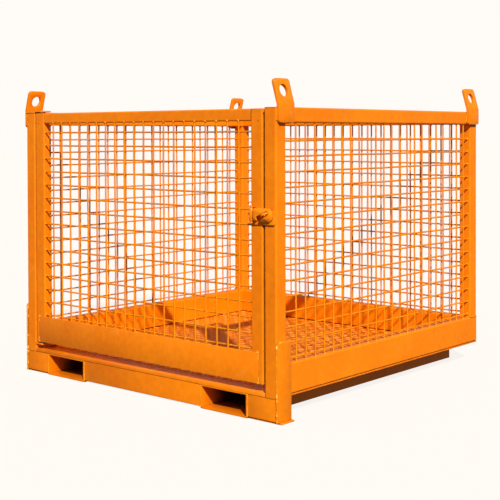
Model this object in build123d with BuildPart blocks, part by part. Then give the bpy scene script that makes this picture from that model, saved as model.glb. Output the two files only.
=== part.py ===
from build123d import *
from math import cos, radians, sin, tan
import os

os.makedirs("parts", exist_ok=True)

# ---------------------------------------------------------------------------
# Driving dimensions, in millimetres.
# X runs across the cage, -Y is the door side, +Z is up, the ground is at 0.
# ---------------------------------------------------------------------------

# overall size
cage_width = 1270.0  # over the outer faces of the posts
cage_depth = 1250.0  # from the front face of the posts to the rear face
cage_height = 1005.0  # from the ground to the top of the posts and top rails

# square and rectangular steel tube
post_size = 50.0
post_wall = 3.0
tube_corner = 6.0  # outer corner radius of the drawn tube
top_rail_height = 50.0
beam_height = 100.0  # kick beam round the floor on three sides
beam_wall = 3.0
cap_thickness = 3.0  # plate that closes an open tube end

# fork pockets and base
pocket_width = 200.0
pocket_height = 72.0
pocket_spacing = 810.0  # between the centre lines of the two pockets
pocket_wall = 4.0
cross_under_floor = 10.0  # reach of the cross members under the floor plate
cross_wall = 3.0
cross_setback = 2.0  # behind the faces of the posts
floor_thickness = 5.0
sill_height = 12.0
bearer_height = 40.0
bearer_thickness = 8.0
bearer_offset = 210.0  # each bearer from the middle of the cage's depth

# front corner feet
foot_thickness = 5.0
foot_depth = 65.0  # along Y
foot_setback = 5.0  # behind the front face
foot_overhang = 8.0  # past the doubler's outer face
doubler_thickness = 8.0
doubler_width = 65.0
doubler_height = 253.0  # above the foot plate

# welded wire mesh
wire = 6.0
wire_lap = 1.0  # crossing wires sink into each other by this much
mesh_pitch = 50.0
side_mesh_inset = 8.0  # outer wires' centre line from the outer face
side_first_wire = 13.0  # lowest cross wire above the kick beam
side_column_shift = 8.0  # upright wires of the sides, back from an even spacing
door_first_wire = 7.0  # lowest cross wire above the door's kick plate
mesh_top_clear = 30.0  # least room between the top cross wire and the rail

# door
door_gap = 6.5  # between the stiles and the posts
door_top_gap = 4.0  # below the top pivot plate
door_sill_gap = 28.0  # above the sill
door_depth = 30.0
stile_width = 50.0
door_rail_height = 40.0
door_wall = 2.5
door_corner = 5.0
kick_height = 100.0
kick_thickness = 3.0
kick_side_lap = 32.0  # the kick plate covers this much of each stile
kick_lap = 15.0  # the upright wires run this far down behind the kick plate
bottom_rail_size = 25.0

# door pivots
pivot_from_edge = 22.0  # pin axis from the stile's outer side
pivot_pin_radius = 8.0
pivot_clearance = 0.05  # radial running clearance of each pin
pivot_pin_length = 30.0
bush_length = 36.0
pivot_plate_thickness = 6.0
top_plate_cover = 40.0  # reach of the top plate past the post
bottom_plate_reach = 48.0
bottom_plate_depth = 34.0
bottom_plate_gap = 6.0  # below the door's bottom
bottom_plate_bevel = 14.0
thrust_washer_radius = 14.0
thrust_play = 0.5  # between the thrust washer and the door

# door guide and stops on the latch post
guide_play = 0.5
guide_height = 14.0
guide_depth = 26.0
stop_play = 1.0  # behind the closed door
stop_thickness = 6.0
stop_cover = 25.0  # reach behind the stile
stop_height = 40.0
stop_from_end = 90.0  # each stop from the door's top or bottom

# latch: a hasp leaf on the door drops over a staple on the post
latch_height = 662.0
leaf_length = 99.0
leaf_height = 44.0
leaf_thickness = 4.0
leaf_standoff = 10.0  # leaf's middle plane in front of the door
leaf_pin_from_end = 9.0
leaf_short_of_side = 6.0  # leaf's free end, in from the outer side of the post
knuckle_radius = 6.5
hasp_pin_radius = 3.5
hasp_clearance = 0.05
hasp_head_radius = 5.5
hasp_head_height = 2.0
ear_thickness = 4.0
ear_width = 13.0
ear_play = 1.0  # between the leaf and each ear
strike_thickness = 6.0  # plate on the post that carries the staple
strike_width = 48.0
strike_height = 44.0
strike_drop = 31.0  # its lower edge below the leaf's middle
staple_bar_radius = 4.0
staple_span = 24.0  # between the centre lines of the two legs
staple_tilt = 25.0  # degrees from level
staple_lift = 2.0  # above the leaf's middle
staple_reach = 30.0  # outermost point in front of the post
staple_edge = 4.5  # leg centre line from the post's inner side, past the bar
slot_width = 15.0
slot_length = 56.0
slot_shift = 9.5  # slot's middle from the staple's, along the slot

# lifting lugs
lug_width = 76.0
lug_thickness = 12.0
lug_below_top = 50.0  # length welded to the post
lug_above_top = 92.0  # height of the tip above the posts
lug_bend = 16.0  # degrees towards the inside of the cage
lug_bend_clear = 2.0  # start of the bend above the top pivot plate
lug_hole_radius = 20.5
lug_hole_height = 53.0  # hole centre above the posts
lug_tip_radius = 12.0
lug_foot_radius = 9.0
front_lug_inset = 3.0
rear_lug_inset = 4.0
left_lug_drop = 8.0  # the lugs of the hinge side sit this much lower

# ---------------------------------------------------------------------------
# Places worked out from the sizes above
# ---------------------------------------------------------------------------

side_x = cage_width / 2  # outer face of a side
inner_x = side_x - post_size  # inner face of a post
front_y = (staple_reach - cage_depth) / 2  # the staple is the foremost point
back_y = front_y + cage_depth
middle_y = (front_y + back_y) / 2
behind_front_post = front_y + post_size
before_rear_post = back_y - post_size

base_top = pocket_height + 2 * pocket_wall
cross_depth = post_size + cross_under_floor
floor_top = base_top + floor_thickness
beam_top = floor_top + beam_height
rail_bottom = cage_height - top_rail_height
sill_top = base_top + sill_height

door_left = -inner_x + door_gap
door_right = inner_x - door_gap
door_bottom = sill_top + door_sill_gap
door_top = cage_height - door_top_gap
door_opening_left = door_left + stile_width
door_opening_right = door_right - stile_width
door_opening_width = door_opening_right - door_opening_left
kick_top = door_bottom + kick_height
door_rail_bottom = door_top - door_rail_height
pivot_x = door_left + pivot_from_edge
pivot_y = front_y + door_depth / 2

leaf_right = side_x - leaf_short_of_side
leaf_left = leaf_right - leaf_length
hasp_pin_x = leaf_left + leaf_pin_from_end
hasp_pin_y = front_y - leaf_standoff
staple_half_x = staple_span / 2 * cos(radians(staple_tilt))
staple_x = inner_x + staple_edge + staple_half_x
staple_z = latch_height + staple_lift

MIDDLE = (Align.CENTER, Align.CENTER)
LOW = (Align.CENTER, Align.MIN)
CORNER = (Align.MIN, Align.MIN)


def write_piece(piece, name):
    """Label one finished piece and write its STEP file."""
    piece.part.label = name
    export_step(piece.part, f"parts/{name}.step")


def tube_profile(width, height, wall, corner):
    """Draw a hollow rounded rectangle in the sketch that is open."""
    RectangleRounded(width, height, corner)
    inner_corner = max(corner - wall, wall / 4)
    RectangleRounded(width - 2 * wall, height - 2 * wall, inner_corner, mode=Mode.SUBTRACT)


def wire_places(low, high, first, clear):
    """Heights of the cross wires between two edges, one pitch apart."""
    count = int((high - low - first - clear) // mesh_pitch) + 1
    return [low + first + mesh_pitch * row for row in range(count)]


def wire_columns(low, high):
    """Places of the upright wires, centred between two edges, one pitch apart."""
    count = int((high - low) // mesh_pitch) - 1
    start = (low + high - (count - 1) * mesh_pitch) / 2
    return [start + mesh_pitch * column for column in range(count)]


# ---------------------------------------------------------------------------
# Base: fork pockets, cross members, floor, sill and kick beams
# ---------------------------------------------------------------------------

for side_name, side in (("left", -1), ("right", 1)):
    tube_x = side * pocket_spacing / 2

    with BuildPart() as fork_tube:
        with BuildSketch(Plane.XZ.offset(-back_y)):
            with Locations((tube_x, base_top / 2)):
                Rectangle(pocket_width + 2 * pocket_wall, base_top)
                Rectangle(pocket_width, pocket_height, mode=Mode.SUBTRACT)
        extrude(amount=cage_depth)
    write_piece(fork_tube, f"{side_name}_fork_tube")

tube_inner_x = (pocket_spacing - pocket_width) / 2 - pocket_wall
tube_outer_x = (pocket_spacing + pocket_width) / 2 + pocket_wall
cross_height = base_top - foot_thickness
cross_middle_z = foot_thickness + cross_height / 2

cross_length = cross_depth - cross_setback
front_cross_y = front_y + cross_setback + cross_length / 2
rear_cross_y = back_y - cross_setback - cross_length / 2

cross_members = [
    ("front_cross_left", -side_x, -tube_outer_x, front_cross_y),
    ("front_cross_middle", -tube_inner_x, tube_inner_x, front_cross_y),
    ("front_cross_right", tube_outer_x, side_x, front_cross_y),
    ("rear_cross_middle", -tube_inner_x, tube_inner_x, rear_cross_y),
]
for cross_name, start_x, end_x, centre_y in cross_members:
    with BuildPart() as cross_member:
        with BuildSketch(Plane.YZ.offset(start_x)):
            with Locations((centre_y, cross_middle_z)):
                tube_profile(cross_length, cross_height, cross_wall, tube_corner / 2)
        extrude(amount=end_x - start_x)
    write_piece(cross_member, cross_name)

for bearer_name, bearer_y in (
    ("front_floor_bearer", middle_y - bearer_offset),
    ("rear_floor_bearer", middle_y + bearer_offset),
):
    with BuildPart() as bearer:
        with BuildSketch(Plane.YZ.offset(-tube_inner_x)):
            with Locations((bearer_y, base_top - bearer_height / 2)):
                Rectangle(bearer_thickness, bearer_height)
        extrude(amount=2 * tube_inner_x)
    write_piece(bearer, bearer_name)

floor_length = back_y - behind_front_post
with BuildPart() as floor_plate:
    with BuildSketch(Plane.XY.offset(base_top)):
        with Locations((0, behind_front_post)):
            Rectangle(cage_width, floor_length, align=LOW)
    extrude(amount=floor_thickness)
write_piece(floor_plate, "floor_plate")

with BuildPart() as sill:
    with BuildSketch(Plane.XY.offset(base_top)):
        with Locations((0, front_y)):
            Rectangle(2 * inner_x, post_size, align=LOW)
    extrude(amount=sill_height)
    fillet(sill.edges().filter_by(Axis.X).group_by(Axis.Y)[0], radius=1.5)
write_piece(sill, "front_sill")

beam_middle_z = floor_top + beam_height / 2
for side_name, side in (("left", -1), ("right", 1)):
    beam_x = side * (side_x - post_size / 2)

    with BuildPart() as side_beam:
        with BuildSketch(Plane.XZ.offset(-(back_y - cap_thickness))):
            with Locations((beam_x, beam_middle_z)):
                tube_profile(post_size, beam_height, beam_wall, tube_corner)
        extrude(amount=floor_length - cap_thickness)
    write_piece(side_beam, f"{side_name}_side_beam")

    with BuildPart() as beam_cap:
        with BuildSketch(Plane.XZ.offset(-back_y)):
            with Locations((beam_x, beam_middle_z)):
                RectangleRounded(post_size, beam_height, tube_corner)
        extrude(amount=cap_thickness)
    write_piece(beam_cap, f"{side_name}_beam_cap")

with BuildPart() as rear_beam:
    with BuildSketch(Plane.YZ.offset(-inner_x)):
        with Locations((back_y - post_size / 2, beam_middle_z)):
            tube_profile(post_size, beam_height, beam_wall, tube_corner)
    extrude(amount=2 * inner_x)
write_piece(rear_beam, "rear_beam")

# ---------------------------------------------------------------------------
# Front corner feet
# ---------------------------------------------------------------------------

foot_outer_x = side_x + doubler_thickness + foot_overhang
foot_length = foot_outer_x - tube_outer_x
for side_name, side in (("left", -1), ("right", 1)):
    with BuildPart() as foot_plate:
        with BuildSketch(Plane.XY):
            with Locations((side * (foot_outer_x - foot_length / 2), front_y + foot_setback)):
                Rectangle(foot_length, foot_depth, align=LOW)
        extrude(amount=foot_thickness)
    write_piece(foot_plate, f"{side_name}_foot_plate")

    with BuildPart() as doubler:
        with BuildSketch(Plane.XY.offset(foot_thickness)):
            with Locations((side * (side_x + doubler_thickness / 2), front_y)):
                Rectangle(doubler_thickness, doubler_width, align=LOW)
        extrude(amount=doubler_height)
        top_edges = doubler.edges().filter_by(Axis.Y).group_by(Axis.Z)[-1]
        outer_index = -1 if side > 0 else 0
        fillet(top_edges.sort_by(Axis.X)[outer_index], radius=2)
    write_piece(doubler, f"{side_name}_corner_doubler")

# ---------------------------------------------------------------------------
# Posts, caps and top rails
# ---------------------------------------------------------------------------

post_centre_x = side_x - post_size / 2
front_post_y = front_y + post_size / 2
rear_post_y = back_y - post_size / 2
posts = [
    ("front_left", -post_centre_x, front_post_y, base_top),
    ("front_right", post_centre_x, front_post_y, base_top),
    ("rear_left", -post_centre_x, rear_post_y, beam_top),
    ("rear_right", post_centre_x, rear_post_y, beam_top),
]
for post_name, post_x, post_y, post_foot in posts:
    # the top pivot plate closes the front left post, and caps close the others
    capped = post_name != "front_left"
    post_top = cage_height - cap_thickness if capped else cage_height
    with BuildPart() as post:
        with BuildSketch(Plane.XY.offset(post_foot)):
            with Locations((post_x, post_y)):
                tube_profile(post_size, post_size, post_wall, tube_corner)
        extrude(amount=post_top - post_foot)
    write_piece(post, f"{post_name}_post")

    if capped:
        with BuildPart() as post_cap:
            with BuildSketch(Plane.XY.offset(post_top)):
                with Locations((post_x, post_y)):
                    RectangleRounded(post_size, post_size, tube_corner)
            extrude(amount=cap_thickness)
        write_piece(post_cap, f"{post_name}_post_cap")

rail_middle_z = cage_height - top_rail_height / 2
for side_name, side in (("left", -1), ("right", 1)):
    with BuildPart() as top_rail:
        with BuildSketch(Plane.XZ.offset(-before_rear_post)):
            with Locations((side * post_centre_x, rail_middle_z)):
                tube_profile(post_size, top_rail_height, post_wall, tube_corner)
        extrude(amount=before_rear_post - behind_front_post)
    write_piece(top_rail, f"{side_name}_top_rail")

with BuildPart() as rear_top_rail:
    with BuildSketch(Plane.YZ.offset(-inner_x)):
        with Locations((rear_post_y, rail_middle_z)):
            tube_profile(post_size, top_rail_height, post_wall, tube_corner)
    extrude(amount=2 * inner_x)
write_piece(rear_top_rail, "rear_top_rail")

# ---------------------------------------------------------------------------
# Mesh panels of the sides and the rear. The upright wires lie outside, and the
# cross wires lie against them on the inside.
# ---------------------------------------------------------------------------

even_columns = wire_columns(behind_front_post, before_rear_post)
side_columns = [y + side_column_shift for y in even_columns]
side_rows = wire_places(beam_top, rail_bottom, side_first_wire, mesh_top_clear)
inner_wire_inset = side_mesh_inset + wire - wire_lap
side_mesh_length = before_rear_post - behind_front_post
side_mesh_height = rail_bottom - beam_top
side_mesh_middle_z = (rail_bottom + beam_top) / 2

for side_name, side in (("left", -1), ("right", 1)):
    with BuildPart() as side_mesh:
        with BuildSketch(Plane.YZ.offset(side * (side_x - side_mesh_inset))):
            with Locations([(y, side_mesh_middle_z) for y in side_columns]):
                Rectangle(wire, side_mesh_height)
        extrude(amount=wire / 2, both=True)
        with BuildSketch(Plane.YZ.offset(side * (side_x - inner_wire_inset))):
            with Locations([(middle_y, z) for z in side_rows]):
                Rectangle(side_mesh_length, wire)
        extrude(amount=wire / 2, both=True)
    write_piece(side_mesh, f"{side_name}_mesh")

rear_columns = wire_columns(-inner_x, inner_x)
with BuildPart() as rear_mesh:
    with BuildSketch(Plane.XZ.offset(-(back_y - side_mesh_inset))):
        with Locations([(x, side_mesh_middle_z) for x in rear_columns]):
            Rectangle(wire, side_mesh_height)
    extrude(amount=wire / 2, both=True)
    with BuildSketch(Plane.XZ.offset(-(back_y - inner_wire_inset))):
        with Locations([(0, z) for z in side_rows]):
            Rectangle(2 * inner_x, wire)
    extrude(amount=wire / 2, both=True)
write_piece(rear_mesh, "rear_mesh")

# ---------------------------------------------------------------------------
# Lifting lugs: flat bar, upright where it is welded to the post and bent
# inwards above it
# ---------------------------------------------------------------------------

bend = radians(lug_bend)
bend_outer_z = (
    cage_height + pivot_plate_thickness + lug_bend_clear + lug_thickness * tan(bend / 2)
)
bend_inner_z = bend_outer_z - lug_thickness * tan(bend / 2)

lugs = [
    ("front_left_lug", -1, front_y + front_lug_inset, left_lug_drop),
    ("front_right_lug", 1, front_y + front_lug_inset, 0.0),
    ("rear_left_lug", -1, back_y - rear_lug_inset - lug_width, left_lug_drop),
    ("rear_right_lug", 1, back_y - rear_lug_inset - lug_width, 0.0),
]
for lug_name, side, lug_start, lug_drop in lugs:
    lug_foot_z = cage_height - lug_below_top - lug_drop
    lug_arm = (cage_height + lug_above_top - lug_drop - bend_outer_z) / cos(bend)
    hole_arm = (cage_height + lug_hole_height - lug_drop - bend_outer_z) / cos(bend)
    outer_x = side_x + lug_thickness
    tip_x = outer_x - lug_arm * sin(bend)
    tip_z = bend_outer_z + lug_arm * cos(bend)
    outline = [
        (side * outer_x, lug_foot_z),
        (side * outer_x, bend_outer_z),
        (side * tip_x, tip_z),
        (side * (tip_x - lug_thickness * cos(bend)), tip_z - lug_thickness * sin(bend)),
        (side * side_x, bend_inner_z),
        (side * side_x, lug_foot_z),
    ]
    # the hole runs square through the middle of the bent part's thickness
    hole_x = outer_x - hole_arm * sin(bend) - lug_thickness / 2 * cos(bend)
    hole_z = bend_outer_z + hole_arm * cos(bend) - lug_thickness / 2 * sin(bend)
    hole_plane = Plane(
        origin=(side * hole_x, lug_start + lug_width / 2, hole_z),
        x_dir=(0, 1, 0),
        z_dir=(side * cos(bend), 0, sin(bend)),
    )

    with BuildPart() as lug:
        with BuildSketch(Plane.XZ.offset(-(lug_start + lug_width))):
            with BuildLine():
                Polyline(outline, close=True)
            make_face()
        extrude(amount=lug_width)
        across = lug.edges().filter_by(lambda edge: abs((edge % 0.5).Y) < 0.01)
        thin = across.filter_by(lambda edge: abs(edge.length - lug_thickness) < 0.01)
        fillet(thin.group_by(Axis.Z)[-1], radius=lug_tip_radius)
        fillet(thin.group_by(Axis.Z)[0], radius=lug_foot_radius)
        with BuildSketch(hole_plane):
            Circle(lug_hole_radius)
        extrude(amount=lug_thickness, both=True, mode=Mode.SUBTRACT)
    write_piece(lug, lug_name)

# ---------------------------------------------------------------------------
# Door pivots on the front left post
# ---------------------------------------------------------------------------

top_plate_length = post_size + top_plate_cover
with BuildPart() as top_pivot_plate:
    with BuildSketch(Plane.XY.offset(cage_height)):
        with Locations((-side_x + top_plate_length / 2, front_post_y)):
            RectangleRounded(top_plate_length, post_size, tube_corner)
    extrude(amount=pivot_plate_thickness)
write_piece(top_pivot_plate, "top_pivot_plate")

with BuildPart() as top_pivot_pin:
    with BuildSketch(Plane.XY.offset(cage_height)):
        with Locations((pivot_x, pivot_y)):
            Circle(pivot_pin_radius)
    extrude(amount=-pivot_pin_length)
    chamfer(top_pivot_pin.edges().sort_by(Axis.Z)[0], length=1)
write_piece(top_pivot_pin, "top_pivot_pin")

bottom_plate_top = door_bottom - bottom_plate_gap
plate_end_x = -inner_x + bottom_plate_reach
plate_rear_y = front_y + bottom_plate_depth
with BuildPart() as bottom_pivot_plate:
    with BuildSketch(Plane.XY.offset(bottom_plate_top - pivot_plate_thickness)):
        with BuildLine():
            Polyline(
                (-inner_x, front_y),
                (plate_end_x - bottom_plate_bevel, front_y),
                (plate_end_x, front_y + bottom_plate_bevel),
                (plate_end_x, plate_rear_y - bottom_plate_bevel),
                (plate_end_x - bottom_plate_bevel, plate_rear_y),
                (-inner_x, plate_rear_y),
                close=True,
            )
        make_face()
    extrude(amount=pivot_plate_thickness)
write_piece(bottom_pivot_plate, "bottom_pivot_plate")

with BuildPart() as bottom_pivot_pin:
    with BuildSketch(Plane.XY.offset(bottom_plate_top)):
        with Locations((pivot_x, pivot_y)):
            Circle(thrust_washer_radius)
    extrude(amount=bottom_plate_gap - thrust_play)
    with BuildSketch(Plane.XY.offset(bottom_plate_top)):
        with Locations((pivot_x, pivot_y)):
            Circle(pivot_pin_radius)
    extrude(amount=pivot_pin_length)
    chamfer(bottom_pivot_pin.edges().sort_by(Axis.Z)[-1], length=1)
write_piece(bottom_pivot_pin, "bottom_pivot_pin")

# ---------------------------------------------------------------------------
# Guide pad and stops on the front right post
# ---------------------------------------------------------------------------

with BuildPart() as guide_pad:
    with BuildSketch(Plane.XY.offset(door_top - guide_height)):
        with Locations((door_right + guide_play, front_y + (door_depth - guide_depth) / 2)):
            Rectangle(door_gap - guide_play, guide_depth, align=CORNER)
    extrude(amount=guide_height)
write_piece(guide_pad, "door_guide_pad")

for stop_name, stop_z in (
    ("upper_door_stop", door_top - stop_from_end - stop_height),
    ("lower_door_stop", door_bottom + stop_from_end),
):
    with BuildPart() as door_stop:
        with BuildSketch(Plane.XY.offset(stop_z)):
            with Locations((door_right - stop_cover, front_y + door_depth + stop_play)):
                Rectangle(stop_cover + door_gap, stop_thickness, align=CORNER)
        extrude(amount=stop_height)
    write_piece(door_stop, stop_name)

# ---------------------------------------------------------------------------
# Staple: round bar bent to a loop, both legs welded to a plate on the front
# right post
# ---------------------------------------------------------------------------

with BuildPart() as staple_plate:
    with BuildSketch(Plane.XZ.offset(-front_y)):
        with Locations((inner_x, latch_height - strike_drop)):
            Rectangle(strike_width, strike_height, align=CORNER)
    extrude(amount=strike_thickness)
    fillet(staple_plate.edges().filter_by(Axis.Y), radius=3)
write_piece(staple_plate, "staple_plate")

tilt = radians(staple_tilt)
crown_radius = staple_span / 2
leg_length = staple_reach - strike_thickness - staple_bar_radius - crown_radius
staple_plane = Plane(
    origin=(staple_x, front_y - strike_thickness, staple_z),
    x_dir=(cos(tilt), 0, sin(tilt)),
    z_dir=(sin(tilt), 0, -cos(tilt)),
)
leg_foot_plane = Plane(
    origin=staple_plane.from_local_coords((-crown_radius, 0, 0)),
    x_dir=(cos(tilt), 0, sin(tilt)),
    z_dir=(0, -1, 0),
)
with BuildPart() as staple:
    with BuildLine(staple_plane) as staple_path:
        Line((-crown_radius, 0), (-crown_radius, leg_length))
        ThreePointArc(
            (-crown_radius, leg_length),
            (0, leg_length + crown_radius),
            (crown_radius, leg_length),
        )
        Line((crown_radius, leg_length), (crown_radius, 0))
    with BuildSketch(leg_foot_plane):
        Circle(staple_bar_radius)
    sweep(path=staple_path.wires()[0])
write_piece(staple, "latch_staple")

# ---------------------------------------------------------------------------
# Door frame, kick plate and mesh
# ---------------------------------------------------------------------------

door_middle_y = front_y + door_depth / 2
for stile_name, stile_x in (
    ("hinge_stile", door_left + stile_width / 2),
    ("latch_stile", door_right - stile_width / 2),
):
    with BuildPart() as stile:
        with BuildSketch(Plane.XY.offset(door_bottom)):
            with Locations((stile_x, door_middle_y)):
                tube_profile(stile_width, door_depth, door_wall, door_corner)
        extrude(amount=door_top - door_bottom)
    write_piece(stile, stile_name)

with BuildPart() as door_top_rail:
    with BuildSketch(Plane.YZ.offset(door_opening_left)):
        with Locations((door_middle_y, door_top - door_rail_height / 2)):
            tube_profile(door_depth, door_rail_height, door_wall, door_corner)
    extrude(amount=door_opening_width)
write_piece(door_top_rail, "door_top_rail")

# the kick plate lies on the front of the door's frame
with BuildPart() as kick_plate:
    with BuildSketch(Plane.XZ.offset(-front_y)):
        with Locations((0, door_bottom)):
            Rectangle(door_opening_width + 2 * kick_side_lap, kick_height, align=LOW)
    extrude(amount=kick_thickness)
write_piece(kick_plate, "door_kick_plate")

with BuildPart() as bottom_rail:
    with BuildSketch(Plane.YZ.offset(door_opening_left)):
        with Locations(
            (
                front_y + bottom_rail_size / 2,
                door_bottom + bottom_rail_size / 2,
            )
        ):
            tube_profile(bottom_rail_size, bottom_rail_size, door_wall, door_corner)
    extrude(amount=door_opening_width)
write_piece(bottom_rail, "door_bottom_rail")

# the upright wires touch the back of the kick plate and lap down behind it
door_columns = wire_columns(door_opening_left, door_opening_right)
door_rows = wire_places(kick_top, door_rail_bottom, door_first_wire, mesh_top_clear)
upright_y = front_y + wire / 2
cross_wire_y = upright_y + wire - wire_lap
upright_length = door_rail_bottom - kick_top + kick_lap
with BuildPart() as door_mesh:
    with BuildSketch(Plane.XZ.offset(-upright_y)):
        with Locations([(x, kick_top - kick_lap) for x in door_columns]):
            Rectangle(wire, upright_length, align=LOW)
    extrude(amount=wire / 2, both=True)
    with BuildSketch(Plane.XZ.offset(-cross_wire_y)):
        with Locations([(0, z) for z in door_rows]):
            Rectangle(door_opening_width, wire)
    extrude(amount=wire / 2, both=True)
write_piece(door_mesh, "door_mesh")

# each bush is a block that closes the end of the hinge stile
bush_width = stile_width - 2 * door_wall
bush_depth = door_depth - 2 * door_wall
bush_corner = max(door_corner - door_wall, door_wall / 4)
for bush_name, bush_foot in (
    ("top_pivot_bush", door_top - bush_length),
    ("bottom_pivot_bush", door_bottom),
):
    with BuildPart() as bush:
        with BuildSketch(Plane.XY.offset(bush_foot)):
            with Locations((door_left + stile_width / 2, door_middle_y)):
                RectangleRounded(bush_width, bush_depth, bush_corner)
            with Locations((pivot_x, pivot_y)):
                Circle(pivot_pin_radius + pivot_clearance, mode=Mode.SUBTRACT)
        extrude(amount=bush_length)
    write_piece(bush, bush_name)

# ---------------------------------------------------------------------------
# Hasp on the latch stile
# ---------------------------------------------------------------------------

ear_low_z = latch_height - leaf_height / 2 - ear_play - ear_thickness
ear_high_z = latch_height + leaf_height / 2 + ear_play
with BuildPart() as hasp_bracket:
    for ear_z in (ear_low_z, ear_high_z):
        with BuildSketch(Plane.XY.offset(ear_z)):
            with Locations((hasp_pin_x, hasp_pin_y)):
                Rectangle(ear_width, leaf_standoff, align=LOW)
                Circle(ear_width / 2)
                Circle(hasp_pin_radius, mode=Mode.SUBTRACT)
        extrude(amount=ear_thickness)
write_piece(hasp_bracket, "hasp_bracket")

hasp_pin_length = ear_high_z + ear_thickness - ear_low_z
with BuildPart() as hasp_pin:
    with BuildSketch(Plane.XY.offset(ear_low_z)):
        with Locations((hasp_pin_x, hasp_pin_y)):
            Circle(hasp_pin_radius)
    extrude(amount=hasp_pin_length)
    with BuildSketch(Plane.XY.offset(ear_high_z + ear_thickness)):
        with Locations((hasp_pin_x, hasp_pin_y)):
            Circle(hasp_head_radius)
    extrude(amount=hasp_head_height)
    fillet(hasp_pin.edges().sort_by(Axis.Z)[-1], radius=1.2)
write_piece(hasp_pin, "hasp_pin")

slot_x = staple_x - slot_shift * cos(tilt)
slot_z = staple_z - slot_shift * sin(tilt)
with BuildPart() as hasp_leaf:
    with BuildSketch(Plane.XZ.offset(-(hasp_pin_y + leaf_thickness / 2))):
        with Locations((leaf_right - leaf_length / 2, latch_height)):
            SlotOverall(leaf_length, leaf_height)
    extrude(amount=leaf_thickness)
    outer_edges = hasp_leaf.edges().group_by(Axis.Y)[0]
    fillet(outer_edges, radius=1.2)
    with BuildSketch(Plane.XY.offset(latch_height - leaf_height / 2)):
        with Locations((hasp_pin_x, hasp_pin_y)):
            Circle(knuckle_radius)
    extrude(amount=leaf_height)
    with BuildSketch(Plane.XZ.offset(-(hasp_pin_y + leaf_thickness))):
        with Locations(Location((slot_x, slot_z, 0), (0, 0, staple_tilt))):
            SlotOverall(slot_length, slot_width)
    extrude(amount=2 * leaf_thickness, mode=Mode.SUBTRACT)
    with BuildSketch(Plane.XY.offset(latch_height - leaf_height)):
        with Locations((hasp_pin_x, hasp_pin_y)):
            Circle(hasp_pin_radius + hasp_clearance)
    extrude(amount=2 * leaf_height, mode=Mode.SUBTRACT)
write_piece(hasp_leaf, "hasp_leaf")
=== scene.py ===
"""Welded mesh transport cage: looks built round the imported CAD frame."""

import logging
import math
from collections.abc import Callable
from dataclasses import dataclass, field
from enum import Enum

import bmesh
import bpy
from mathutils import Matrix, Vector


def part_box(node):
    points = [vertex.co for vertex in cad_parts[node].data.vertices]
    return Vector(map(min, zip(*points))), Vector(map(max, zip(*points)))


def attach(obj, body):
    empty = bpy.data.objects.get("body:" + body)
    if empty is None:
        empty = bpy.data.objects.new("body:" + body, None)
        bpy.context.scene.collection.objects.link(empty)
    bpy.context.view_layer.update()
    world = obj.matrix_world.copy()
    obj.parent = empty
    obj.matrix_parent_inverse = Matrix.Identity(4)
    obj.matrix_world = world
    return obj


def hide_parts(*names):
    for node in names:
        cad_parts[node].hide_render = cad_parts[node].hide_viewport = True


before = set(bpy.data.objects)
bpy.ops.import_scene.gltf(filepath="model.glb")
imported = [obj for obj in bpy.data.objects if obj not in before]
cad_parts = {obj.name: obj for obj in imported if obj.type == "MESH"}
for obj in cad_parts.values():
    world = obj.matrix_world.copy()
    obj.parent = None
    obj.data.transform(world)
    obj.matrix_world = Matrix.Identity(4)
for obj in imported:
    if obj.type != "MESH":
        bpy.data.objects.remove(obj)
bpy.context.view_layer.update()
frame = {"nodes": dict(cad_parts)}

logging.basicConfig(level=logging.INFO, format="%(message)s")
log = logging.getLogger("cage")

MM = 0.001


class Slot(Enum):
    """Material slots that the record names."""

    FRAME = "frame_paint"
    DOOR = "door_paint"
    WIRE = "mesh_paint"
    FLOOR = "floor_paint"
    LUG = "lug_paint"
    LATCH = "latch_paint"
    PIVOT = "pivot_steel"


class Body(Enum):
    """Bodies that pieces ride on."""

    CAGE = "cage"
    DOOR = "door"
    HASP = "hasp"


# ---------------------------------------------------------------------------
# Small helpers
# ---------------------------------------------------------------------------


def linear(code: str) -> tuple[float, float, float, float]:
    """Turn an sRGB hex colour into linear RGBA.

    Args:
        code: Six hex digits with a leading hash.

    Returns:
        Red, green, blue and alpha, each from 0 to 1.
    """
    channels = [int(code[start : start + 2], 16) / 255 for start in (1, 3, 5)]
    straight = [c / 12.92 if c <= 0.04045 else ((c + 0.055) / 1.055) ** 2.4 for c in channels]
    return (*straight, 1.0)


def add_node(
    tree: bpy.types.NodeTree, kind: str, inputs: dict | None = None, **settings: object
) -> bpy.types.Node:
    """Add a node, set its properties, and feed its inputs.

    Args:
        tree: Node tree that gets the node.
        kind: Node type identifier.
        inputs: Socket name or index, and the constant, socket or list of sockets for it.
        **settings: Properties of the node.

    Returns:
        The new node.
    """
    node = tree.nodes.new(kind)
    for name, value in settings.items():
        setattr(node, name, value)
    for key, value in (inputs or {}).items():
        feeds = value if isinstance(value, list) else [value]
        for feed in feeds:
            if isinstance(feed, bpy.types.NodeSocket):
                tree.links.new(feed, node.inputs[key])
            else:
                node.inputs[key].default_value = feed
    return node


def link_object(name: str, mesh: bpy.types.Mesh) -> bpy.types.Object:
    """Put a mesh into the scene as an object at the origin.

    Args:
        name: Name of the object.
        mesh: Finished or empty mesh.

    Returns:
        The new object.
    """
    piece = bpy.data.objects.new(name, mesh)
    bpy.context.scene.collection.objects.link(piece)
    return piece


def dress(node: str, material: bpy.types.Material) -> None:
    """Give a CAD node's object one finish on all its slots.

    Args:
        node: CAD node that keeps its shape.
        material: Finish for it.
    """
    cad_object = frame["nodes"][node]
    if not cad_object.material_slots:
        cad_object.data.materials.append(material)
    for place in cad_object.material_slots:
        place.material = material


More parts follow.
